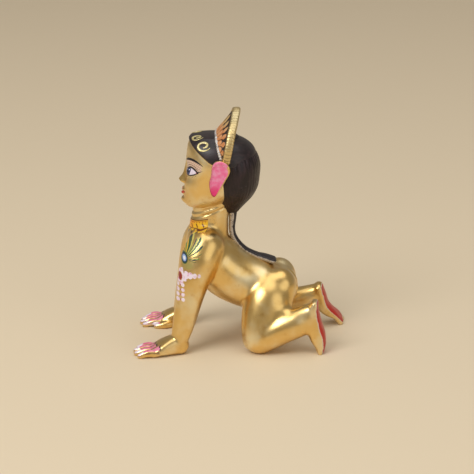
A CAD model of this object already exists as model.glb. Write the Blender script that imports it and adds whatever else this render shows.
"""Looks of the crawling brass idol: the polished casting and its painted hair, crown, face and limbs.

The sculpture is worked out in millimetres in its own frame: the figure faces -Y, its left side is +X,
and it rests on Z = 0. MIDDLE_Y is what the frame's origin lies behind the sculpture's own.
"""

import math

import bmesh
import bpy
import numpy as np
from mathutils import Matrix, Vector
from mathutils.bvhtree import BVHTree


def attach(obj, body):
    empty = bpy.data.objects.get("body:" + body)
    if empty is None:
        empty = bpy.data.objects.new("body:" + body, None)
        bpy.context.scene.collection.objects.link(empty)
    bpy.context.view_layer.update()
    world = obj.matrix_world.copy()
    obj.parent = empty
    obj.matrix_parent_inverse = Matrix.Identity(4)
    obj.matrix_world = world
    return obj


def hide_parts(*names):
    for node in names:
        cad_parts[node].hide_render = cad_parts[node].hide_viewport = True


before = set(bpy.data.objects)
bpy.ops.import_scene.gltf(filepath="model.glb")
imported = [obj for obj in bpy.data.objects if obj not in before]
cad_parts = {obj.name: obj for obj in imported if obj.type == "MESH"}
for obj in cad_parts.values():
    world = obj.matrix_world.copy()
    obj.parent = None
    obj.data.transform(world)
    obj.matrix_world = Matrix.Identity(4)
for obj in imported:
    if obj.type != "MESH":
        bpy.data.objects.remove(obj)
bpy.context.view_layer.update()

MM = 0.001
MIDDLE_Y = 0.721

# Camera, in the sculpture's frame: what it looks at, how far off and how high it stands
LOOK_AT = (0, -0.45, 32.7)
CAMERA_DISTANCE = 620
CAMERA_HEIGHT_DEGREES = 18
CAMERA_LENS = 155.4

# Stage, in metres: half the floor's side, and each lamp's place, diameter and watts
FLOOR_HALF = 3.0
ROOM_LIGHT = 0.30
LAMPS = {
    "key": ((0.50, -0.45, 0.70), 0.55, 4.6),
    "top": ((0.05, 0.15, 0.9), 0.90, 2.6),
    "side": ((0.60, 0.60, 0.35), 0.70, 1.0),
}

# Skin of the casting
TRUNK_VOXEL = 0.4
TRUNK_ROUNDS = 40
SKIN_VOXEL = 0.31
SKIN_ROUNDS = 4

# Stations: x, y, z, half width along the section's first axis, half depth along its second
TORSO = (
    (0, -9.1, 35.0, 5.8, 5.8),
    (0, -9.3, 31.6, 8.4, 6.8),
    (0, -7.7, 27.7, 10.0, 8.0),
    (0, -3.9, 22.7, 10.2, 8.5),
    (0, 1.9, 19.35, 9.8, 8.4),
    (0, 7.6, 17.55, 10.0, 7.9),
    (0, 12.0, 17.2, 8.8, 6.3),
)
NECK = (
    (0, -9.2, 31.0, 6.6, 6.4),
    (0, -9.1, 34.5, 5.9, 6.1),
    (0, -8.8, 38.0, 5.3, 5.8),
    (0, -8.3, 41.5, 5.2, 5.6),
    (0, -7.6, 45.0, 5.6, 5.8),
)
SHOULDER_GIRDLE = (
    (-7.6, -9.4, 31.4, 5.0, 4.4),
    (0, -9.2, 32.4, 5.4, 4.2),
    (7.6, -9.4, 31.4, 5.0, 4.4),
)
ARM = (
    (6.6, -9.9, 32.0, 5.4, 5.8),
    (8.8, -11.5, 28.4, 5.3, 5.9),
    (10.2, -13.2, 23.4, 4.7, 5.1),
    (11.4, -14.8, 16.9, 3.9, 4.2),
    (12.2, -16.2, 10.6, 3.3, 3.6),
    (12.6, -17.3, 6.0, 2.8, 3.0),
    (12.7, -18.2, 3.2, 2.9, 2.5),
)
PALM = (
    (12.6, -17.6, 2.8, 2.7, 2.9),
    (12.7, -19.6, 2.8, 3.3, 2.9),
    (13.1, -22.6, 2.1, 4.0, 2.3),
    (13.6, -25.0, 1.3, 4.1, 1.6),
)
LEFT_THIGH = (
    (5.2, 10.8, 18.6, 5.2, 6.6),
    (7.4, 9.2, 15.2, 6.0, 7.4),
    (9.4, 7.6, 10.8, 5.6, 6.9),
    (11.0, 6.5, 6.8, 4.9, 5.9),
    (11.8, 6.1, 4.1, 4.4, 5.1),
)
RIGHT_THIGH = (
    (-5.2, 10.6, 18.6, 5.2, 6.6),
    (-7.4, 9.0, 15.2, 6.0, 7.2),
    (-9.4, 7.5, 10.8, 5.6, 6.7),
    (-11.0, 6.4, 6.8, 4.9, 5.6),
    (-11.8, 5.9, 4.1, 4.4, 4.8),
)
LEFT_SHIN = (
    (11.8, 6.2, 4.1, 4.5, 4.7),
    (12.0, 9.5, 5.8, 4.6, 4.8),
    (12.2, 13.5, 7.8, 4.4, 4.7),
    (12.3, 17.4, 9.4, 3.9, 4.6),
    (12.1, 19.8, 10.6, 3.3, 4.4),
    (12.0, 21.3, 11.6, 3.0, 4.2),
)
RIGHT_SHIN = (
    (-11.8, 5.8, 4.1, 4.5, 4.7),
    (-11.8, 10.6, 5.8, 4.5, 4.7),
    (-11.6, 15.2, 7.5, 4.3, 4.3),
    (-11.2, 19.8, 9.0, 3.8, 3.9),
    (-10.9, 22.6, 9.8, 3.1, 3.8),
    (-10.8, 23.7, 10.2, 2.8, 3.8),
)
LEFT_FOOT = (
    (11.9, 22.9, 15.7, 2.6, 1.15),
    (11.9, 22.4, 13.3, 2.9, 1.8),
    (11.8, 22.9, 9.0, 3.0, 2.3),
    (11.7, 23.8, 5.4, 3.0, 2.5),
    (11.7, 24.6, 2.9, 2.9, 1.9),
    (11.7, 24.8, 1.2, 2.8, 1.35),
)
RIGHT_FOOT = (
    (-10.6, 24.9, 13.0, 2.5, 1.4),
    (-11.0, 25.4, 10.4, 2.8, 1.8),
    (-11.5, 26.3, 7.2, 3.0, 1.9),
    (-12.4, 27.9, 5.1, 3.0, 1.7),
    (-13.5, 30.5, 3.0, 3.1, 1.0),
    (-14.2, 32.0, 1.3, 3.0, 0.8),
)
FOOT_TURNS = (-6, -8)
TOE_PITCH = 1.15
TOE_RADIUS = 0.8
RIGHT_HAND_BACK = 0.9
BUTTOCK = ((4.9, 12.4, 18.3), (5.2, 5.4, 6.2))
KNEE_FOLD = ((10.6, 12.6, 12.0), (3.8, 3.8, 3.0))
KNUCKLES = (13.55, -25.0, 1.25)
FINGER_PITCH = 2.05
FINGER_LENGTHS = (5.2, 6.0, 5.7, 4.6)
THUMB = (
    (10.2, -20.6, 1.1, 1.3, 1.3),
    (8.8, -23.6, 1.05, 1.2, 1.2),
    (8.6, -26.4, 0.65, 0.9, 0.9),
)
HEAD = (
    (0, -10.6, 43.4, 4.8, 5.0),
    (0, -9.4, 45.2, 7.0, 6.9),
    (0, -7.7, 48.4, 8.5, 8.5),
    (0, -6.3, 52.4, 9.1, 9.5),
    (0, -5.5, 57.0, 9.2, 10.1),
    (0, -5.6, 60.2, 8.5, 9.8),
    (0, -6.5, 62.4, 7.1, 8.5),
    (0, -7.8, 64.0, 4.9, 6.2),
)
BACK_HAIR = (
    (0, -3.4, 64.2, 4.4, 3.4),
    (0, -2.8, 62.2, 6.6, 5.6),
    (0, -2.3, 59.4, 8.6, 7.7),
    (0, -2.0, 56.2, 9.5, 8.5),
    (0, -2.0, 52.8, 9.5, 8.4),
    (0, -2.0, 49.0, 8.6, 7.8),
    (0, -2.1, 46.0, 6.8, 6.3),
    (0, -2.2, 43.4, 4.5, 4.1),
    (0, -2.2, 41.4, 2.8, 2.3),
)
PLAIT = (
    (0, -1.7, 41.0, 1.5, 1.3),
    (0, -1.8, 38.6, 1.3, 1.1),
    (0, -2.0, 36.2, 1.2, 1.0),
    (0, -1.8, 34.2, 1.2, 0.95),
    (0, -1.1, 32.4, 1.2, 0.95),
    (0, 0.2, 30.5, 1.25, 0.95),
    (0, 2.4, 28.5, 1.35, 0.95),
    (0, 5.6, 26.95, 1.6, 0.95),
    (0, 8.0, 26.3, 2.2, 0.95),
    (0, 10.6, 25.4, 2.4, 0.95),
)
CROWN_BASE = ((9.6, -5.2, 59.8), (9.0, -5.9, 62.2), (6.9, -6.4, 64.2), (3.8, -6.6, 65.1), (0, -6.7, 65.4))
CROWN_RIM = ((9.8, -3.7, 58.9), (10.2, -2.9, 63.0), (8.6, -2.1, 67.0), (5.2, -1.3, 69.8), (0, -0.6, 72.45))
EAR_OUTLINE = (
    (-7.9, 48.8),
    (-8.5, 50.6),
    (-8.6, 52.9),
    (-8.1, 55.0),
    (-7.9, 57.1),
    (-7.2, 58.8),
    (-5.7, 59.5),
    (-3.8, 59.0),
    (-2.6, 57.5),
    (-2.7, 55.8),
    (-3.7, 53.9),
    (-4.7, 52.0),
    (-5.8, 50.2),
    (-7.0, 48.5),
)
HAIR_THICKNESS = 0.75
NECK_RING_DEPTH = 0.42
CLEFT_DEPTH = 0.9
RIM_CUT_PITCH = 0.95
SCALES_IN_ROW = 13
SCALE_HEIGHT = 0.42
# Curls of the left side: centre, radius, turns, angle at the start, share by which the radius shrinks
CURLS = (
    ((3.4, -12.4, 65.8), 1.6, -1.3, 4.3, 0.72),
    ((7.0, -10.4, 63.4), 1.85, -1.2, 4.2, 0.66),
)


# Surfaces


def flow(stations, steps):
    """Catmull-Rom curve: each span starts and ends at a station, with the slopes of its neighbours."""
    rows = np.array(stations, float)
    ends = np.vstack([2 * rows[0] - rows[1], rows, 2 * rows[-1] - rows[-2]])
    share = np.linspace(0, 1, steps, endpoint=False)[None, :, None]
    before, start, end, after = (ends[k : len(ends) - 3 + k, None] for k in range(4))
    spans = (
        start
        + 0.5 * (end - before) * share
        + (before - 2.5 * start + 2 * end - 0.5 * after) * share**2
        + (1.5 * (start - end) + 0.5 * (after - before)) * share**3
    )
    return np.vstack([spans.reshape(-1, rows.shape[1]), rows[-1:]])


def evenly(path, count):
    """The same curve with its points at equal distances along it."""
    reach = np.concatenate([[0], np.cumsum(np.linalg.norm(np.diff(path[:, :3], axis=0), axis=1))])
    spots = np.linspace(0, reach[-1], count)
    return np.stack([np.interp(spots, reach, column) for column in path.T], axis=1)


def slopes(path, level=False):
    along = np.gradient(path[:, :3], axis=0)
    if level:
        along[:, :2] = 0
    return along / np.linalg.norm(along, axis=1)[:, None]


def section(turn, square):
    """Points of a superellipse: |x|^square + |y|^square = 1, at the angle turn."""
    wide = np.sign(np.cos(turn)) * np.abs(np.cos(turn)) ** (2 / square)
    deep = np.sign(np.sin(turn)) * np.abs(np.sin(turn)) ** (2 / square)
    return wide, deep


def tube(stations, sides=64, steps=12, across=(1, 0, 0), square=2.0, dome=1.0, level=False):
    """A profile carried along a path: centre + width * first axis * cos + depth * second axis * sin.

    Both ends are domed: past an end at the angle a, the section shrinks by cos a and moves on by sin a.
    """
    path = flow(stations, steps)
    along = slopes(path, level)
    angle = np.linspace(0, math.pi / 2, 9)[1:-1]
    start, end = path[0], path[-1]

    def cap(row, direction, sign):
        grown = np.tile(row, (len(angle), 1))
        grown[:, :3] += sign * direction * (dome * min(row[3:]) * np.sin(angle))[:, None]
        grown[:, 3:] *= np.cos(angle)[:, None]
        return grown, np.tile(direction, (len(angle), 1))

    low, low_along = cap(start, along[0], -1)
    high, high_along = cap(end, along[-1], 1)
    rows = np.vstack([low[::-1], path, high])
    along = np.vstack([low_along[::-1], along, high_along])
    poles = np.array(
        [
            start[:3] - along[0] * dome * min(start[3:]),
            end[:3] + along[-1] * dome * min(end[3:]),
        ]
    )
    first = np.array(across, float) - (along @ np.array(across, float))[:, None] * along
    first /= np.linalg.norm(first, axis=1)[:, None]
    second = np.cross(along, first)
    wide, deep = section(np.linspace(0, 2 * math.pi, sides, endpoint=False), square)
    rings = (
        rows[:, None, :3]
        + rows[:, None, 3:4] * wide[None, :, None] * first[:, None]
        + rows[:, None, 4:5] * deep[None, :, None] * second[:, None]
    )
    return rings, poles


def ball(centre, radii, sides=48, rows=24):
    """An ellipsoid: centre + radii * (cos h cos t, cos h sin t, sin h)."""
    height = np.linspace(-math.pi / 2, math.pi / 2, rows + 2)[1:-1, None]
    turn = np.linspace(0, 2 * math.pi, sides, endpoint=False)[None]
    wide, deep = np.cos(height) * np.cos(turn), np.cos(height) * np.sin(turn)
    unit = np.stack([wide, deep, np.sin(height) + 0 * turn], -1)
    centre, radii = np.array(centre, float), np.array(radii, float)
    poles = centre + np.array([(0, 0, -1), (0, 0, 1)]) * radii
    return centre + radii * unit, poles


def across_turned(degrees):
    return (math.cos(math.radians(degrees)), math.sin(math.radians(degrees)), 0)


def on_side(stations, side):
    """The stations as given for the left, 1, or mirrored for the right, -1."""
    return tuple((side * s[0], *s[1:]) for s in stations)


def wall(rings, poles):
    """Vertices and faces of a closed tube: quads between its rings, and triangles at its poles."""
    rows, sides = rings.shape[:2]
    number = np.arange(rows * sides).reshape(rows, sides)
    after = np.roll(number, -1, axis=1)
    quads = np.stack([number[:-1], after[:-1], after[1:], number[1:]], -1).reshape(-1, 4)
    low, high = rows * sides, rows * sides + 1
    fans = np.vstack(
        [
            np.stack([after[0], number[0], np.full(sides, low)], -1),
            np.stack([number[-1], after[-1], np.full(sides, high)], -1),
        ]
    )
    return np.vstack([rings.reshape(-1, 3), poles]), quads, fans


def piece(name, surfaces, fields=None):
    """One mesh object of closed surfaces, with a number at each vertex for every named field."""
    points, faces, offset = [], [], 0
    for rings, poles in surfaces:
        vertices, quads, fans = wall(rings, poles)
        points.append(vertices)
        faces += (quads + offset).tolist() + (fans + offset).tolist()
        offset += len(vertices)
    points = np.vstack(points)
    mesh = bpy.data.meshes.new(name)
    mesh.from_pydata((points - (0, MIDDLE_Y, 0)) * MM, [], faces)
    facing_out(mesh)
    for field, values in (fields or {}).items():
        add_field(mesh, field, values)
    return shown(name, mesh)


def facing_out(mesh):
    shell = bmesh.new()
    shell.from_mesh(mesh)
    bmesh.ops.recalc_face_normals(shell, faces=shell.faces[:])
    shell.to_mesh(mesh)
    shell.free()


def add_field(mesh, name, values):
    attribute = mesh.attributes.new(name, "FLOAT", "POINT")
    attribute.data.foreach_set("value", np.asarray(values, np.float32))


def shown(name, mesh):
    mesh.shade_smooth()
    made = bpy.data.objects.new(name, mesh)
    bpy.context.scene.collection.objects.link(made)
    return made


def points_of(mesh):
    """The mesh's vertices in the sculpture's frame, in millimetres."""
    flat = np.empty(len(mesh.vertices) * 3)
    mesh.vertices.foreach_get("co", flat)
    return flat.reshape(-1, 3) / MM + (0, MIDDLE_Y, 0)


def put_points(mesh, points):
    mesh.vertices.foreach_set("co", ((points - (0, MIDDLE_Y, 0)) * MM).ravel())
    mesh.update()


def one_skin(rough, voxel, rounds):
    """One closed skin round all the overlapping forms of an object, then softened; the object goes."""
    remesh = rough.modifiers.new("skin", "REMESH")
    remesh.mode = "VOXEL"
    remesh.voxel_size = voxel * MM
    soften = rough.modifiers.new("soften", "SMOOTH")
    soften.factor = 0.5
    soften.iterations = rounds
    bpy.context.view_layer.update()
    graph = bpy.context.evaluated_depsgraph_get()
    mesh = bpy.data.meshes.new_from_object(rough.evaluated_get(graph))
    old = rough.data
    bpy.data.objects.remove(rough)
    bpy.data.meshes.remove(old)
    return mesh


def smooth_step(low, high, value):
    share = np.clip((value - low) / (high - low), 0, 1)
    return share * share * (3 - 2 * share)


def hill(across, up, middle, size):
    """A bell: exp(-(distance from the middle / size)^2), with its own size across and up."""
    return np.exp(-(((across - middle[0]) / size[0]) ** 2) - ((up - middle[1]) / size[1]) ** 2)


# The casting


def trunk_surfaces():
    surfaces = [tube(TORSO), tube(NECK), tube(SHOULDER_GIRDLE, across=(0, 1, 0))]
    for side in (1, -1):
        surfaces.append(tube(on_side(ARM, side)))
        for (x, y, z), radii in (BUTTOCK, KNEE_FOLD):
            surfaces.append(ball((side * x, y, z), radii))
    surfaces += [tube(leg) for leg in (LEFT_THIGH, RIGHT_THIGH, LEFT_SHIN, RIGHT_SHIN)]
    surfaces += feet()
    return surfaces


def feet():
    return [
        tube(foot, across=across_turned(turn), square=2.8)
        for foot, turn in zip((LEFT_FOOT, RIGHT_FOOT), FOOT_TURNS)
    ]


def finger(number):
    """Stations of a left finger, counted from the thumb's side: a low arch from the knuckle to the tip."""
    spread = number - 1.5
    x, y, z = KNUCKLES
    root = np.array((x + FINGER_PITCH * spread, y, z))
    tip = root + np.array((0.35 * spread, -FINGER_LENGTHS[number], 0.6 - z))
    middle = (root + tip) / 2 + np.array((0, 0, 0.45))
    return ((*root, 1.08, 1.15), (*middle, 1.0, 1.12), (*tip, 0.84, 0.82))


def hand_side(stations, side):
    """The left hand's stations as given, or the right hand's: mirrored, and set back a little."""
    back = 0 if side > 0 else RIGHT_HAND_BACK
    return tuple((side * s[0], s[1] + back, *s[2:]) for s in stations)


def finger_fields(points):
    """How far each point lies beside the nearest finger's middle line, and behind its tip."""
    beside, behind = np.full(len(points), 9.0), np.full(len(points), 9.0)
    for side in (1, -1):
        for stations in (*(finger(number) for number in range(4)), THUMB):
            line = flow(hand_side(stations, side), 12)[::-1]
            away = np.abs(points[:, 0] - np.interp(points[:, 1], line[:, 1], line[:, 0]))
            back = points[:, 1] - (line[0, 1] - line[0, 3])
            if stations is THUMB:
                back = np.where(back > 1.9, 9, back + 0.6)
            near = (away < beside) & (away < 1.6) & (points[:, 2] < 6) & (back <= 9)
            beside, behind = np.where(near, away, beside), np.where(near, back, behind)
    return beside, behind


def toes(foot, turn):
    """Five short stations at the floor end of a foot, side by side."""
    ball_of_foot, end = np.array(foot[-2][:3]), np.array(foot[-1][:3])
    along = (end - ball_of_foot) / np.linalg.norm(end - ball_of_foot)
    surfaces = []
    for number in range(5):
        aside = np.array(across_turned(turn)) * TOE_PITCH * (number - 2)
        tip = end + aside + along * 0.35
        tip[2] = 0.5
        stations = [(*spot, TOE_RADIUS, TOE_RADIUS) for spot in (ball_of_foot + aside, tip)]
        surfaces.append(tube(stations, sides=24, steps=6))
    return surfaces


def limb_surfaces():
    surfaces = []
    for side in (1, -1):
        surfaces.append(tube(hand_side(PALM, side), square=2.6))
        surfaces.append(tube(hand_side(THUMB, side), sides=32))
        surfaces += [tube(hand_side(finger(number), side), sides=32) for number in range(4)]
    for foot, turn in zip((LEFT_FOOT, RIGHT_FOOT), FOOT_TURNS):
        surfaces += toes(foot, turn)
    return surfaces + feet()


def sole_depth(points):
    """How far a point lies behind the middle of its foot, as a share of half its depth; -9 off the feet."""
    depth = np.full(len(points), -9.0)
    for foot, turn, side in zip((LEFT_FOOT, RIGHT_FOOT), FOOT_TURNS, (1, -1)):
        line = flow(foot, 12)
        line = np.vstack([line, 2 * line[-1] - line[-9]])[::-1]
        height = points[:, 2]
        middle_x = np.interp(height, line[:, 2], line[:, 0])
        middle_y = np.interp(height, line[:, 2], line[:, 1])
        lean = (line[0, 1] - line[-1, 1]) / (line[-1, 2] - line[0, 2])
        back = np.array((-math.sin(math.radians(turn)), math.cos(math.radians(turn))))
        behind = (points[:, 0] - middle_x) * back[0] + (points[:, 1] - middle_y) * back[1]
        behind /= math.hypot(1, lean)
        near = (side * points[:, 0] > 6) & (points[:, 1] > 19) & (height < line[-1, 2] + 2.5)
        half = np.maximum(np.interp(height, line[:, 2], line[:, 4]), 0.85)
        depth = np.where(near, np.clip(behind / half, -9, 9), depth)
    return depth


def engraved(points):
    """Depth of the cut lines: two rings round the neck, each a bell in height, and the cleft."""
    x, y, z = points.T
    neck = (np.abs(x) < 7.5) & (z > 34) & (z < 44) & (y > -17) & (y < -3.2)
    rise = z - 0.35 * (y + 11.5)
    rings = np.exp(-(((rise - 42.1) / 0.3) ** 2)) + np.exp(-(((rise - 40.6) / 0.32) ** 2))
    cleft = np.exp(-((x / 0.55) ** 2)) * smooth_step(13.5, 16.5, y) * smooth_step(9, 12, z)
    return NECK_RING_DEPTH * rings * neck + CLEFT_DEPTH * cleft


def casting():
    trunk = one_skin(piece("trunk", trunk_surfaces()), TRUNK_VOXEL, TRUNK_ROUNDS)
    rough = piece("limbs", limb_surfaces())
    whole = bmesh.new()
    whole.from_mesh(rough.data)
    whole.from_mesh(trunk)
    whole.to_mesh(rough.data)
    whole.free()
    mesh = one_skin(rough, SKIN_VOXEL, SKIN_ROUNDS)
    mesh.name = "brass_casting"
    points = points_of(mesh)
    normals = np.empty(len(mesh.vertices) * 3)
    mesh.vertices.foreach_get("normal", normals)
    normals = normals.reshape(-1, 3)
    points -= normals * engraved(points)[:, None]
    points[:, 2] = np.maximum(points[:, 2], 0)
    put_points(mesh, points)
    add_field(mesh, "sole", sole_depth(points))
    beside, behind = finger_fields(points)
    add_field(mesh, "beside_finger", beside)
    add_field(mesh, "behind_tip", behind)
    return shown("brass_casting", mesh)


# The head


def hairline(x, y):
    """Height of the front hair's edge: an arch over the brow that comes down to the ears."""
    arch = 56.8 + 6.5 * np.clip(1 - (x / 9.25) ** 2, 0, 1) ** 0.66
    return np.where(y < -5.5, arch, 56.8)


def face_relief(x, z):
    """How far the features stand out: bells for brow, eyes, lips, chin and cheeks, a ridge for the nose."""
    side = np.abs(x)
    down = np.clip((56.6 - z) / (56.6 - 51.0), 0, 1)
    ridge = (0.25 + 0.95 * down) * np.exp(-((x / (0.8 + 0.5 * down)) ** 2)) * smooth_step(58.0, 56.0, z)
    tip = 0.8 * hill(x, z, (0, 51.2), (1.2, 1.15))
    nose = (ridge + tip) * smooth_step(49.2, 51.3, z)
    wings = 0.75 * hill(side, z, (1.3, 50.85), (0.65, 0.62)) * smooth_step(49.7, 50.5, z)
    eyes = 0.95 * hill(side, z, (4.3, 54.7), (2.2, 1.3)) - 0.65 * hill(side, z, (3.8, 55.3), (3.2, 2.0))
    brow = 0.35 * hill(side, z, (3.8, 57.8), (3.4, 0.9))
    lips = 0.75 * hill(side, z, (0.85, 48.25), (1.15, 0.45)) + 0.85 * hill(x, z, (0, 47.05), (1.5, 0.5))
    mouth = -0.35 * np.exp(-(((z - 47.65) / 0.16) ** 2)) * np.exp(-((x / 2.2) ** 4))
    fold = -0.4 * hill(x, z, (0, 46.1), (1.9, 0.45))
    chin = 0.95 * hill(x, z, (0, 44.9), (2.4, 1.3))
    cheeks = 0.6 * hill(side, z, (5.0, 50.4), (2.8, 2.6))
    return nose + wings + eyes + brow + lips + mouth + fold + chin + cheeks


def head():
    """A level superellipse on each height of a path, pushed forward by the face and outward by the hair."""
    rows, sides = 262, 350
    path = evenly(flow(HEAD, 40), rows - 16)
    angle = np.linspace(0, math.pi / 2, 10)[1:-1]
    low, high = np.tile(path[0], (8, 1)), np.tile(path[-1], (8, 1))
    low[:, 2] -= 0.55 * np.sin(angle)
    high[:, 2] += 0.6 * np.sin(angle)
    low[:, 3:] *= np.cos(angle)[:, None]
    high[:, 3:] *= np.cos(angle)[:, None]
    path = np.vstack([low[::-1], path, high])
    even = np.linspace(-math.pi, math.pi, sides, endpoint=False)
    from_front = even - 0.5 * np.sin(even)
    wide, deep = section(from_front - math.pi / 2, 2.2)
    x = path[:, 0:1] + path[:, 3:4] * wide
    y = path[:, 1:2] + path[:, 4:5] * deep
    z = path[:, 2:3] + 0 * wide
    step = np.hypot(np.diff(x, axis=1), np.diff(y, axis=1))
    reach = np.concatenate([np.zeros((len(path), 1)), np.cumsum(step, axis=1)], axis=1)
    around = reach - reach[:, sides // 2][:, None]
    above = z - hairline(x, y)
    hair = HAIR_THICKNESS * smooth_step(-0.15, 0.35, above)
    centre_y, centre_z = -6.2, 56.0
    outward = np.stack([x, y - centre_y, np.maximum(z - centre_z, 0)], -1)
    outward /= np.linalg.norm(outward, axis=-1)[..., None]
    front = smooth_step(0.15, 0.6, np.cos(from_front))[None]
    relief = face_relief(x, z) * front * (above < 0.4)
    points = np.stack([x, y - relief, z], -1) + outward * hair[..., None]
    underside = (0, path[0, 1], path[0, 2] - 0.02)
    top = (0, path[-1, 1] - 0.3, points[-1, :, 2].mean() + 0.02)
    poles = np.array([underside, top])
    fields = {
        "around": np.append(around.ravel(), (0, 0)),
        "hairline": np.append(above.ravel(), (-9, 3)),
    }
    return piece("painted_head", [(points, poles)], fields)


def ear(side):
    """A leaf: its outline shrinks to the middle over the dished front, and again over the flat back."""
    leaf = closed_flow(EAR_OUTLINE, 16)
    outline = evenly(np.vstack([leaf, leaf[:1]]), 121)[:-1]
    middle = outline.mean(axis=0)
    front = np.linspace(0.03, 1, 26)
    share = np.concatenate([front, [1.02, 1.03, 1.02], np.linspace(1, 0.03, 12)])
    dish = 0.3 * smooth_step(0.7, 0.92, front) - 0.25 * smooth_step(0.94, 1.0, front)
    stand = np.concatenate([0.55 + dish, [0.42, 0.2, -0.05], np.linspace(-0.25, -0.6, 12)])
    flat = middle + share[:, None, None] * (outline - middle)[None]
    lean = 10.0 + 0.16 * (flat[..., 0] + 6) + 0.05 * (flat[..., 1] - 53)
    x = lean + stand[:, None]
    points = np.stack([side * x, flat[..., 0], flat[..., 1]], -1)
    poles = np.array([points[0].mean(axis=0), points[-1].mean(axis=0)])
    behind_rim = np.where(np.arange(len(share)) < 27, 1, 2)
    rim = np.append(np.repeat(share * behind_rim, len(outline)), (0, 2))
    return piece("left_ear" if side > 0 else "right_ear", [(points, poles)], {"rim": rim})


def closed_flow(stations, steps):
    """Catmull-Rom curve through stations that come back to the first one."""
    ring = np.array(stations, float)
    padded = np.vstack([ring[-1:], ring, ring[:2]])
    return flow(padded, steps)[steps : -2 * steps + (steps - 1)][: len(ring) * steps]


def back_hair():
    """Level sections like the head's, combed: shallow grooves run from the crown down to the nape."""
    rings, poles = tube(BACK_HAIR, sides=260, steps=24, dome=0.3, level=True)
    turn = np.linspace(0, 2 * math.pi, 260, endpoint=False)
    centre = rings.mean(axis=1)[:, None]
    outward = rings - centre
    size = np.linalg.norm(outward, axis=-1)[..., None]
    comb = 0.035 * np.sin(46 * turn) * smooth_step(0, 3, size[..., 0])
    return piece("back_hair", [(rings + outward / np.maximum(size, 1e-6) * comb[..., None], poles)])


def plait():
    """A flat superellipse carried down the back, wider at its rounded end."""
    rings, poles = tube(PLAIT, sides=72, steps=24, square=2.8)
    turn = np.linspace(0, 2 * math.pi, 72, endpoint=False)
    top = np.append(np.tile(-np.sin(turn), len(rings)), (-1, 0.6))
    return piece("plait", [(rings, poles)], {"top": top})


def from_ear_to_ear(points):
    """The whole arch, from the points of its left half."""
    half = np.array(points, float)
    return np.vstack([half, (half * (-1, 1, 1))[::-1][1:]])


def crown_band():
    """A round cord over the head, a little thicker and thinner by turns."""
    arch = evenly(flow(from_ear_to_ear(CROWN_BASE), 12), 300)
    thick = 0.42 + 0.05 * np.sin(np.arange(300) * 0.75)[:, None]
    cord = tube(np.hstack([arch, thick, thick]), sides=20, steps=1, across=(0, 1, 0))
    return piece("crown_band", [cord])


def crown_rim():
    """A flat band carried over the head, with a row of shallow cuts across it."""
    count = 560
    arch = evenly(flow(from_ear_to_ear(CROWN_RIM), 12), count)
    reach = np.concatenate([[0], np.cumsum(np.linalg.norm(np.diff(arch, axis=0), axis=1))])
    wave = np.cos(reach / RIM_CUT_PITCH * 2 * math.pi + 0.8 * np.sin(reach * 1.1))
    cut = smooth_step(0.6, 1.0, wave)[:, None]
    sized = np.hstack([arch, 1.2 - 0.05 * cut, 0.8 - 0.06 * cut])
    rings, poles = tube(sized, sides=32, steps=1, across=(0, 1, 0), square=3.2)
    ends = (len(rings) - count) // 2
    cuts = np.pad(cut[:, 0], ends)
    return piece("crown_rim", [(rings, poles)], {"cut": np.append(np.repeat(cuts, 32), (0, 0))})


def crown_panel():
    """The sheet between band and rim, with two rows of raised scales, and the same sheet behind it."""
    columns, rows = 420, 60
    low = evenly(flow(from_ear_to_ear(CROWN_BASE), 12), columns)[None]
    high = evenly(flow(from_ear_to_ear(CROWN_RIM), 12), columns)[None] + (0, -0.9, 0.1)
    up = np.linspace(0, 1, rows)[:, None]
    place = np.linspace(0, 1, columns)[None]
    forward = np.array((0, -0.85, 0.45))
    edge = np.full((rows, columns), 9.0)
    for shift, foot, tip in ((0.0, 0.0, 0.58), (0.5, 0.12, 1.0)):
        edge = np.where(edge < 1, edge, scale_row(place, up, SCALES_IN_ROW, shift, foot, tip))
    relief = SCALE_HEIGHT * np.sqrt(np.clip(1 - edge, 0, 1))
    front = low + (high - low) * up[..., None] + forward * (relief - 0.1)[..., None]
    back = (low + (high - low) * up[..., None] + np.array((0, 1.3, -0.5)))[::-1]
    sheet = np.concatenate([front, back], axis=0).transpose(1, 0, 2)
    poles = np.array([sheet[0].mean(axis=0), sheet[-1].mean(axis=0)])
    field = np.concatenate([edge, np.full_like(edge, 0.5)], axis=0).T.ravel()
    return piece("crown_panel", [(sheet, poles)], {"petal": np.append(field, (0.5, 0.5))})


def scale_row(place, up, count, shift, foot, tip):
    """0 in the middle of a scale, 1 at its edge: half ellipses side by side on their feet."""
    aside = np.abs((place * count + shift) % 1 - 0.5) * 2
    climb = np.clip((up - foot) / (tip - foot), 0, 2)
    inside = (aside**2.6 + climb**2.6) ** (1 / 2.6)
    return np.where(inside <= 1, inside, 9.0)


def curls(head_piece):
    """Flat spirals: the radius shrinks with the turn, and every point is laid on the front hair."""
    surface = BVHTree.FromObject(head_piece, bpy.context.evaluated_depsgraph_get())
    surfaces = []
    for centre, size, turns, start, shrink in CURLS:
        for side in (1, -1):
            middle = Vector((side * centre[0], centre[1] - MIDDLE_Y, centre[2])) * MM
            spot, normal, *_ = surface.find_nearest(middle)
            first = Vector((0, -1, 0)).cross(normal).normalized() * side
            second = normal.cross(first)
            angle = np.linspace(0, turns * 2 * math.pi, 60)
            radius = size * (1 - shrink * angle / angle[-1])
            stations = []
            for a, r, share in zip(angle, radius, np.linspace(0, 1, 60)):
                aside, up = math.cos(start + a), math.sin(start + a) * side * 1.2
                flat = spot + (first * aside + second * up) * r * MM
                point = surface.find_nearest(flat)[0] / MM
                size_here = 0.38 * min(1, 0.35 + 3 * share, 0.45 + 4 * (1 - share))
                stations.append((point.x, point.y + MIDDLE_Y, point.z, size_here * 0.45, size_here))
            surfaces.append(tube(stations, sides=12, steps=1, across=tuple(normal)))
    return piece("hair_curls", surfaces)


# Finishes


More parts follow.
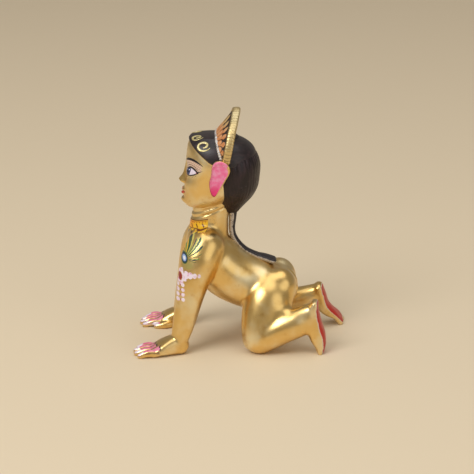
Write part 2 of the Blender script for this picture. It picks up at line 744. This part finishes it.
class Field:
    """A socket whose value varies over a surface; sums and products with it become Math nodes."""

    def __init__(self, finish, socket):
        self.finish, self.socket = finish, socket

    def math(self, operation, *others):
        inputs = dict(enumerate((self, *others)))
        return self.finish.node("Math", {"operation": operation}, inputs)

    def __add__(self, other):
        return self.math("ADD", other)

    def __sub__(self, other):
        return self.math("SUBTRACT", other)

    def __mul__(self, other):
        return self.math("MULTIPLY", other)

    def __truediv__(self, other):
        return self.math("DIVIDE", other)

    def __rsub__(self, other):
        return (self * -1.0) + other

    __radd__ = __add__
    __rmul__ = __mul__

    def size(self):
        return self.math("ABSOLUTE")

    def power(self, exponent):
        return self.math("POWER", exponent)

    def smaller(self, other):
        return self.math("MINIMUM", other)

    def larger(self, other):
        return self.math("MAXIMUM", other)

    def sine(self):
        return self.math("SINE")

    def part(self):
        return self.math("FRACT")

    def step(self, low, high):
        """0 below low, 1 above high and smooth between; it falls where high is the smaller."""
        span = {"interpolation_type": "SMOOTHSTEP"}
        inputs = {"Value": self, "From Min": low, "From Max": high}
        if high < low:
            inputs = {"Value": self, "From Min": high, "From Max": low, "To Min": 1.0, "To Max": 0.0}
        return self.finish.node("MapRange", span, inputs)


class Finish:
    """A material: its shader, and what its nodes read from the surface."""

    def __init__(self, name, metallic=0.0, roughness=0.5):
        self.material = bpy.data.materials.new(name)
        self.material.use_nodes = True
        self.tree = self.material.node_tree
        self.shader = self.tree.nodes["Principled BSDF"]
        self.shader.inputs["Metallic"].default_value = metallic
        self.shader.inputs["Roughness"].default_value = roughness

    def node(self, kind, settings=None, inputs=None, output=0):
        made = self.tree.nodes.new("ShaderNode" + kind)
        for key, value in (settings or {}).items():
            setattr(made, key, value)
        for key, value in (inputs or {}).items():
            if isinstance(value, Field):
                self.tree.links.new(value.socket, made.inputs[key])
            else:
                made.inputs[key].default_value = value
        return Field(self, made.outputs[output])

    def attribute(self, name):
        return self.node("Attribute", {"attribute_name": name}, output="Fac")

    def place(self):
        """Object coordinates as x, y and z in millimetres, in the sculpture's frame."""
        spot = self.node("TexCoord", output="Object")
        x, y, z = (self.node("SeparateXYZ", {}, {0: spot}, output=axis) * (1 / MM) for axis in "XYZ")
        return x, y + MIDDLE_Y, z

    def noise(self, scale, detail=4.0, roughness=0.5, stretch=(1, 1, 1)):
        """Noise on Object coordinates; scale is in waves a millimetre."""
        spot = self.node("TexCoord", output="Object")
        sized = self.node("Mapping", {}, {"Vector": spot, "Scale": tuple(s * scale / MM for s in stretch)})
        inputs = {"Vector": sized, "Scale": 1.0, "Detail": detail, "Roughness": roughness}
        return self.node("TexNoise", {"noise_dimensions": "3D"}, inputs)

    def mix(self, share, first, second):
        """The first colour where share is 0, and the second where it is 1."""
        first, second = (c if isinstance(c, Field) else (*c, 1) for c in (first, second))
        return self.node("Mix", {"data_type": "RGBA"}, {0: share, 6: first, 7: second}, output=2)

    def bump(self, height, distance, strength=1.0):
        return self.node("Bump", {}, {"Height": height, "Distance": distance * MM, "Strength": strength})

    def set(self, **sockets):
        for name, value in sockets.items():
            socket = self.shader.inputs[name.replace("_", " ")]
            if isinstance(value, Field):
                self.tree.links.new(value.socket, socket)
            else:
                socket.default_value = value


BRASS = (0.80, 0.545, 0.20)
BRASS_DEEP = (0.60, 0.33, 0.08)
BRASS_PALE = (0.87, 0.74, 0.46)
HAIR_BLACK = (0.012, 0.007, 0.009)
HAIR_BROWN = (0.034, 0.018, 0.022)


def brass_parts(finish):
    """Colour, roughness and height of hand-polished cast brass: cloudy tone, buffing marks, small pits."""
    cloud = finish.noise(0.12, 3.0).step(0.42, 0.75)
    colour = finish.mix(cloud, BRASS, BRASS_PALE)
    stain = finish.noise(0.35, 5.0).step(0.55, 0.8)
    colour = finish.mix(stain * 0.55, colour, BRASS_DEEP)
    buffing = finish.noise(1.2, 3.0, stretch=(1, 0.25, 1))
    pits = finish.noise(2.2, 2.0).step(0.70, 0.78)
    roughness = 0.25 + 0.08 * cloud + 0.08 * buffing + 0.2 * pits
    height = buffing * 0.3 + finish.noise(0.33, 2.0) * 0.75 - pits * 0.6
    return colour, roughness, height


class Painting:
    """Brass with coats of paint laid over it, one after the other."""

    def __init__(self, finish):
        self.finish = finish
        self.colour, self.roughness, self.height = brass_parts(finish)
        self.paint = None

    def lay(self, mask, colour, gloss=0.32):
        self.colour = self.finish.mix(mask, self.colour, colour)
        self.roughness = self.roughness + (gloss - self.roughness) * mask
        self.paint = mask if self.paint is None else self.paint.larger(mask)

    def done(self):
        bare = 1.0 - self.paint
        self.finish.set(
            Base_Color=self.colour,
            Roughness=self.roughness,
            Metallic=bare,
            Normal=self.finish.bump(self.height * (0.3 + bare * 0.7) + self.paint * 0.9, 0.035, 0.6),
        )
        return self.finish.material


def spread(first, second):
    """Length of the vector with these two sides."""
    return (first * first + second * second).power(0.5)


def paint_soles(art):
    sole = art.finish.attribute("sole") + art.finish.noise(0.8, 2.0) * 0.25 - 0.12
    art.lay(sole.step(0.50, 0.58) * 0.9, (0.66, 0.56, 0.44))
    art.lay(sole.step(0.63, 0.70), (0.50, 0.024, 0.014))


def paint_fingers(art, z):
    """Pink on each finger's back, lilac at its tip, a dark arc at its root; brass shows between them."""
    beside, behind = (art.finish.attribute(name) for name in ("beside_finger", "behind_tip"))
    brush = art.finish.noise(0.9, 3.0)
    strip = (beside + brush * 0.35).step(0.90, 0.74) * z.step(0.75, 1.1)
    pink = art.finish.mix(art.finish.noise(0.7, 3.0).step(0.3, 0.7), (0.72, 0.12, 0.27), (0.82, 0.32, 0.44))
    art.lay(strip * (behind + brush * 1.6).step(8.0, 7.4), pink)
    root_line = (behind + brush * 1.6 - 7.7).size().step(0.32, 0.18)
    art.lay(strip * root_line * beside.step(0.95, 0.75), (0.05, 0.025, 0.02))
    art.lay(strip * (behind + brush * 1.2).step(2.9, 2.4), (0.80, 0.70, 0.80))
    seam = (beside + brush * 0.25 - 1.02).size().step(0.14, 0.04) * z.step(1.2, 1.6) * behind.step(7.5, 6.5)
    art.lay(seam * 0.8, (0.16, 0.07, 0.03))


def paint_collar(art, x, y, z):
    """Yellow band round the front of the neck, with dark strokes, and a fringe of drops below it."""
    turn = art.finish.node("Math", {"operation": "ARCTAN2"}, {0: x, 1: (y + 8.6) * -1.0})
    level = z - (y + 9.4) * 0.2
    dark = (0.13, 0.022, 0.008)
    around = turn.size().step(1.50, 1.44) * x.size().step(8.6, 8.2)
    band = around * level.step(37.5, 37.65) * level.step(39.95, 39.8)
    yellow = art.finish.mix(turn.size().step(0.75, 0.45), (0.86, 0.50, 0.02), (0.84, 0.38, 0.02))
    art.lay(band, yellow)
    strokes = (turn * 17.0 + (level - 38.3) * 2.2).sine().step(0.72, 0.92)
    art.lay(band * strokes * (level - 38.3).size().step(0.62, 0.45), dark)
    stitches = (turn * 34.0).sine().step(0.5, 0.8) * (level - 39.15).size().step(0.2, 0.08)
    art.lay(band * stitches, (0.45, 0.04, 0.01))
    art.lay(around * (level - 39.85).size().step(0.2, 0.1), dark)
    art.lay(around * (level - 39.42).size().step(0.1, 0.04), (0.30, 0.03, 0.01))
    art.lay(around * (level - 37.55).size().step(0.14, 0.06), dark)
    scallop = (turn * 8.5).sine().size()
    hang = level - 37.4 + scallop * 0.75
    art.lay(around * hang.step(-0.12, 0.0) * level.step(37.5, 37.4), (0.78, 0.45, 0.03))
    art.lay(around * hang.size().step(0.16, 0.08) * level.step(37.6, 37.5), (0.07, 0.05, 0.02))
    smudge = turn.size().step(1.35, 1.5) * turn.size().step(2.1, 1.8)
    smudge = smudge * level.step(36.6, 37.4) * level.step(40.8, 40.2) * (y * -1.0).step(3.6, 4.6)
    art.lay(smudge * art.finish.noise(1.0, 4.0).step(0.5, 0.68) * 0.6, (0.12, 0.08, 0.05))
    bead = spread((turn * 2.705).part() - 0.5, (level - 36.35) * 0.55)
    art.lay(around * bead.step(0.24, 0.17) * level.step(35.9, 36.0), (0.09, 0.05, 0.03))


def paint_feather(art, across, up, outer):
    """A peacock feather: an eye, and barbs that fan out from it in yellow, green and dark blue."""
    distance = spread(across, up)
    bearing = art.finish.node("Math", {"operation": "ARCTAN2"}, {0: across, 1: up}) + distance * 0.03 - 0.22
    ragged = art.finish.noise(0.8, 2.0) * 1.2
    barbs = (bearing * 27.0 + ragged).sine()
    fan = outer * bearing.step(-0.55, -0.4) * bearing.step(1.9, 1.7)
    length = 8.3 - (bearing - 0.5).larger(0.0) * 4.4 - (0.1 - bearing).larger(0.0) * 4.0 + barbs * 0.6
    inside = fan * (length - distance).step(0, 0.35) * distance.step(1.1, 1.5)
    wash = inside * (bearing - 0.45).size().step(0.5, 0.25) * distance.step(5.2, 3.4)
    art.lay(wash * 0.75, (0.24, 0.32, 0.07))
    wave = (bearing * 13.5 + ragged).sine().step(-0.4, 0.5)
    green = art.finish.mix(wave, (0.03, 0.11, 0.03), (0.15, 0.27, 0.05))
    art.lay(inside * barbs.step(0.05, 0.45) * (bearing * 5.0 + 0.6).sine().size().step(0.1, 0.5), green)
    yellow = art.finish.mix(bearing.step(0.1, 0.5), (0.84, 0.44, 0.02), (0.60, 0.58, 0.14))
    yellow_lines = (bearing * 27.0 + ragged + 2.6).sine().step(0.4, 0.75) * (bearing - 0.9).step(0.2, -0.2)
    navy = (bearing - 0.60).size().step(0.07, 0.03) + (bearing - 0.36).size().step(0.05, 0.02)
    navy = navy + (bearing - 0.95).size().step(0.05, 0.02) + (bearing - 1.5).size().step(0.06, 0.02)
    art.lay(inside * navy.smaller(1.0) * distance.step(7.0, 6.2), (0.012, 0.025, 0.07))
    art.lay(inside * yellow_lines, yellow)
    brush = spread((across - 1.2) * 0.7, (up + 1.9) * 0.9) + ragged * 0.9
    art.lay(outer * brush.step(2.2, 1.0) * 0.5, (0.20, 0.28, 0.06))
    eye = spread(across / 0.85, up / 1.25)
    art.lay(outer * eye.step(1.35, 1.2), (0.03, 0.10, 0.04))
    art.lay(outer * eye.step(1.08, 0.96), (0.015, 0.02, 0.07))
    art.lay(outer * eye.step(0.82, 0.66), (0.28, 0.42, 0.72))
    art.lay(outer * eye.step(0.5, 0.35), (0.80, 0.84, 0.92))


def paint_flowers(art, y, z, outer):
    """A flower with a red heart, a row of petals beside it, and two strings of dots down the arm."""
    blot = art.finish.noise(1.1, 2.0) * 0.5
    blush = art.finish.noise(1.3, 2.0).step(0.46, 0.76)
    rose = art.finish.mix(blush, (0.86, 0.76, 0.87), (0.74, 0.33, 0.50))
    aside, up = y + 17.4, z - 24.6
    away = spread(aside, up * 0.74)
    spin = art.finish.node("Math", {"operation": "ARCTAN2"}, {0: aside, 1: up})
    petals = 1.75 + (spin * 7.0).sine() * 0.35
    art.lay(outer * (petals - away + blot - 0.25).step(0, 0.15) * away.step(0.6, 0.75), rose)
    heart = spread(aside * 1.35, up * 0.64)
    art.lay(outer * heart.step(0.85, 0.7), (0.30, 0.012, 0.02))
    ring = (heart - 0.72).size().step(0.13, 0.05) * (spin * 5.0).sine().step(0.1, 0.5)
    art.lay(outer * ring, (0.60, 0.30, 0.04))
    row = (y + 16.2) / 1.3
    place = (row.part() - 0.5) * 1.3
    size = 1.18 - (y + 16.2) * 0.12
    bead = spread(place, (z - 25.2 + (y + 14.0) * 0.04) * 0.8) + blot * 0.35
    art.lay(outer * row.step(0, 0.05) * row.step(4.05, 4.0) * (size - bead).step(0, 0.12), rose)
    string = (z - 22.9) / -1.45
    beside = (y + 17.35 + (z - 20.0) * 0.02).size() - 0.78
    drop = spread(beside, (string.part() - 0.5) * 1.3) + blot * 0.3
    on_string = string.step(0, 0.05) * string.step(4.0, 3.95)
    art.lay(outer * on_string * drop.step(0.66, 0.54), rose)
    fine = spread((y + 17.35) * 1.3, (string.part() - 0.5) * 1.6)
    art.lay(outer * on_string * fine.step(0.3, 0.2), (0.50, 0.10, 0.20))


def casting_finish():
    finish = Finish("painted_polished_brass")
    x, y, z = finish.place()
    art = Painting(finish)
    outer = (x.size() + z * 0.243 - 15.5).step(0.0, 0.6)
    paint_soles(art)
    paint_fingers(art, z)
    paint_collar(art, x, y, z)
    paint_feather(art, y + 16.15, z - 30.0, outer)
    paint_flowers(art, y, z, outer)
    return art.done()


def head_finish():
    """Brass skin with a painted face, and black hair above the hairline."""
    finish = Finish("painted_brass_face")
    x, y, z = finish.place()
    across = finish.attribute("around").size()
    art = Painting(finish)
    black = (0.010, 0.008, 0.010)
    share = (across - 5.2) / 3.4
    open_share = (1.0 - share * share).larger(0.0)
    level = z - 54.6 - (across - 5.2) * 0.10
    top, bottom = open_share * 1.55, open_share * -0.95
    # Shaded lid, up to the brow, with fine lines
    brow_share = (across - 5.7) / 5.0
    brow_height = 56.9 + (1.0 - brow_share * brow_share) * 1.75
    brow = z - brow_height
    lid = (level - top).step(0.1, 0.3) * brow.step(-0.05, -0.3) * brow_share.size().step(0.92, 0.7)
    art.lay(lid * 0.85, (0.74, 0.52, 0.44))
    lines = (brow * 7.5 + (level - top) * 2.0).sine().step(0.8, 0.98)
    art.lay(lid * lines * 0.8, (0.16, 0.08, 0.07))
    rays = ((across * 1.1 - z * 0.7) * 7.0).sine().step(0.86, 0.99)
    art.lay(lid * rays * 0.6, (0.20, 0.10, 0.09))
    # Eye
    white = (top - level).step(0, 0.08) * (level - bottom).step(0, 0.08) * share.size().step(1.0, 0.98)
    art.lay(white, (0.80, 0.72, 0.86))
    iris = spread(across - 4.6, level - 0.25)
    art.lay(white * iris.step(1.30, 1.20), (0.03, 0.03, 0.06))
    art.lay(white * iris.step(1.08, 0.98), (0.03, 0.045, 0.16))
    art.lay(white * iris.step(0.55, 0.48), (0.003, 0.003, 0.005))
    art.lay(white * spread(across - 5.05, level - 0.75).step(0.26, 0.16), (0.85, 0.86, 0.90))
    art.lay(white * spread(share - 0.93, level * 0.7).step(0.2, 0.1), (0.62, 0.15, 0.18))
    lid_line = 0.30 + share * 0.05
    art.lay((lid_line - (level - top).size()).step(0, 0.08) * share.size().step(1.10, 1.05), black)
    art.lay((level - bottom).size().step(0.22, 0.15) * share.size().step(1.04, 1.0), black)
    tail = (level - 0.15 - (share - 0.95) * 0.9).size() + (share - 1.0).larger(0.0) * 0.35
    art.lay(tail.step(0.24, 0.14) * share.step(0.9, 0.95) * share.step(1.6, 1.4), black)
    crease = (level - top - 0.75).size().step(0.12, 0.05) * share.size().step(1.05, 0.9)
    art.lay(crease, (0.05, 0.02, 0.02))
    lash = ((across + level * 0.8) * 9.0).sine().step(0.6, 0.9)
    below = bottom - level
    lash = lash * below.step(0.15, 0.25) * below.step(0.95, 0.7) * share.size().step(0.98, 0.85)
    art.lay(lash, (0.06, 0.04, 0.03))
    thick = 0.36 * (1.0 - brow_share.size().power(3.0))
    art.lay((thick - brow.size()).step(0, 0.08) * brow_share.size().step(1.0, 0.97), black)
    # Lips
    half = ((across / 2.4) * (across / 2.4) * -1.0 + 1.0).larger(0.0)
    mouth = z - 47.65
    bow = half * 0.95 - (0.5 - across).larger(0.0) * 0.35
    lips = (bow - mouth).step(0, 0.1) * (mouth + half * 1.05).step(0, 0.1) * across.step(2.4, 2.3)
    front = (y * -1.0).step(11.0, 12.0)
    art.lay(lips * front, (0.55, 0.055, 0.02), 0.25)
    art.lay(mouth.size().step(0.13, 0.06) * across.step(2.35, 2.15) * front, (0.10, 0.01, 0.01))
    # Hair
    edge = finish.attribute("hairline") + finish.noise(0.7, 2.0) * 0.25
    strokes = finish.noise(1.1, 3.0, stretch=(1.0, 0.3, 1.0)).step(0.35, 0.75)
    art.lay(edge.step(0.05, 0.18), finish.mix(strokes, HAIR_BLACK, HAIR_BROWN), 0.38)
    return art.done()


def hair_finish():
    finish = Finish("black_hair_paint")
    finish.set(Specular_IOR_Level=0.35)
    strokes = finish.noise(0.9, 4.0, stretch=(1.0, 1.0, 0.25)).step(0.3, 0.8)
    worn = finish.noise(0.5, 5.0).step(0.66, 0.8)
    colour = finish.mix(strokes, HAIR_BLACK, HAIR_BROWN)
    colour = finish.mix(worn * 0.3, colour, (0.13, 0.09, 0.13))
    dabs = finish.noise(0.45, 3.0, stretch=(1.0, 1.0, 0.6))
    finish.set(
        Base_Color=colour,
        Roughness=0.30 + 0.2 * strokes,
        Normal=finish.bump(strokes + worn + dabs * 3.0, 0.09, 0.8),
    )
    return finish.material


def plait_finish():
    finish = Finish("plait_paint_over_bare_metal")
    top = finish.attribute("top") + finish.noise(1.0, 3.0) * 0.35
    dark = top.step(0.30, 0.42)
    speck = finish.noise(2.0, 3.0).step(0.5, 0.7)
    bare = finish.mix(speck, (0.55, 0.50, 0.46), (0.16, 0.13, 0.11))
    finish.set(
        Base_Color=finish.mix(dark, bare, HAIR_BLACK),
        Roughness=0.38,
        Metallic=(1.0 - dark) * (1.0 - speck) * 0.8,
        Normal=finish.bump(speck, 0.05),
    )
    return finish.material


def ear_finish():
    finish = Finish("pink_ear_paint")
    x, y, z = finish.place()
    colour, roughness, height = brass_parts(finish)
    rim = finish.attribute("rim") + finish.noise(1.0, 2.0) * 0.06
    pink = finish.mix(finish.noise(0.8, 4.0).step(0.35, 0.7), (0.82, 0.15, 0.34), (0.84, 0.31, 0.50))
    pink = finish.mix(z.step(53.0, 49.6), pink, (0.72, 0.035, 0.17))
    behind = y + 5.5 - (z - 55.0) * 0.32
    rim_width = 0.16 * behind.step(0.5, 1.5) * z.step(58.4, 57.6)
    mask = (rim + rim_width).step(1.06, 1.0)
    line = (rim - 0.99).size().step(0.05, 0.02) * (1.0 - behind.step(0.0, 1.0)) * z.step(58.0, 57.0)
    pink = finish.mix(line * 0.7, pink, (0.30, 0.035, 0.04))
    finish.set(
        Base_Color=finish.mix(mask, colour, pink),
        Roughness=roughness + (0.4 - roughness) * mask,
        Metallic=1.0 - mask,
        Normal=finish.bump(height, 0.03, 0.5),
    )
    return finish.material


def rim_finish():
    finish = Finish("pale_gold_rim", metallic=1.0)
    colour, roughness, height = brass_parts(finish)
    cut = finish.attribute("cut")
    colour = finish.mix(0.6, colour, (0.64, 0.53, 0.29))
    colour = finish.mix(finish.noise(0.6, 3.0).step(0.45, 0.75) * 0.5, colour, (0.42, 0.36, 0.20))
    shade = cut * 0.2 + cut * finish.noise(0.5, 2.0).step(0.45, 0.6) * 0.4
    colour = finish.mix(shade, colour, (0.25, 0.17, 0.07))
    finish.set(Base_Color=colour, Roughness=roughness + 0.1, Normal=finish.bump(height, 0.05))
    return finish.material


def band_finish():
    finish = Finish("silver_white_band", roughness=0.35)
    grey = finish.noise(0.9, 3.0).step(0.3, 0.7)
    finish.set(
        Base_Color=finish.mix(grey, (0.72, 0.69, 0.66), (0.42, 0.38, 0.36)),
        Metallic=0.6 * grey,
        Normal=finish.bump(grey, 0.05),
    )
    return finish.material


def panel_finish():
    finish = Finish("orange_petals")
    petal = finish.attribute("petal") + finish.noise(1.2, 2.0) * 0.12
    x, y, z = finish.place()
    orange = finish.mix(finish.noise(0.7, 3.0).step(0.3, 0.7), (0.56, 0.20, 0.06), (0.68, 0.34, 0.15))
    orange = finish.mix(z.step(67.0, 69.5) * 0.8, orange, (0.56, 0.40, 0.16))
    line = petal.step(0.82, 0.92)
    finish.set(
        Base_Color=finish.mix(line, orange, (0.035, 0.018, 0.012)),
        Roughness=0.42,
        Normal=finish.bump(line * -1.0, 0.08),
    )
    return finish.material


def curl_finish():
    finish = Finish("gold_curl_paint", metallic=0.5)
    tone = finish.noise(1.1, 3.0).step(0.3, 0.7)
    finish.set(
        Base_Color=finish.mix(tone, (0.56, 0.46, 0.18), (0.70, 0.62, 0.34)),
        Roughness=0.36,
        Normal=finish.bump(tone, 0.04),
    )
    return finish.material


# Stage


def camera():
    lens = bpy.data.cameras.new("camera")
    lens.lens = CAMERA_LENS
    lens.sensor_width = 36
    lens.clip_start = 0.01
    made = bpy.data.objects.new("camera", lens)
    bpy.context.scene.collection.objects.link(made)
    rise = math.radians(CAMERA_HEIGHT_DEGREES)
    target = Vector((LOOK_AT[0], LOOK_AT[1] - MIDDLE_Y, LOOK_AT[2])) * MM
    away = Vector((math.cos(rise), 0, math.sin(rise))) * CAMERA_DISTANCE * MM
    made.location = target + away
    made.rotation_euler = (-away).to_track_quat("-Z", "Y").to_euler()
    bpy.context.scene.camera = made


def light(name, spot, size, watts):
    lamp = bpy.data.lights.new(name, "AREA")
    lamp.shape = "DISK"
    lamp.size = size
    lamp.energy = watts
    made = bpy.data.objects.new(name, lamp)
    bpy.context.scene.collection.objects.link(made)
    made.location = spot
    made.rotation_euler = (Vector((0, 0, 0.03)) - Vector(spot)).to_track_quat("-Z", "Y").to_euler()


def stage():
    mesh = bpy.data.meshes.new("floor")
    corners = [(x * FLOOR_HALF, y * FLOOR_HALF, 0) for x, y in ((-1, -1), (1, -1), (1, 1), (-1, 1))]
    mesh.from_pydata(corners, [], [(0, 1, 2, 3)])
    floor = bpy.data.objects.new("floor", mesh)
    bpy.context.scene.collection.objects.link(floor)
    finish = Finish("pale_warm_floor", roughness=0.6)
    finish.set(Base_Color=(0.80, 0.67, 0.48, 1))
    mesh.materials.append(finish.material)
    world = bpy.data.worlds.new("studio")
    bpy.context.scene.world = world
    world.use_nodes = True
    world.node_tree.nodes["Background"].inputs["Color"].default_value = (1.0, 0.92, 0.80, 1)
    world.node_tree.nodes["Background"].inputs["Strength"].default_value = ROOM_LIGHT
    for name, lamp in LAMPS.items():
        light(name, *lamp)
    bpy.context.scene.view_settings.view_transform = "Standard"


def dressed(made, material):
    made.data.materials.clear()
    made.data.materials.append(material)
    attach(made, "root")
    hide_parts("crawling_figure")
    return made


camera()
stage()
dressed(casting(), casting_finish())
head_piece = dressed(head(), head_finish())
dressed(back_hair(), hair_finish())
dressed(plait(), plait_finish())
ears = ear_finish()
dressed(ear(1), ears)
dressed(ear(-1), ears)
dressed(crown_band(), band_finish())
dressed(crown_rim(), rim_finish())
dressed(crown_panel(), panel_finish())
dressed(curls(head_piece), curl_finish())
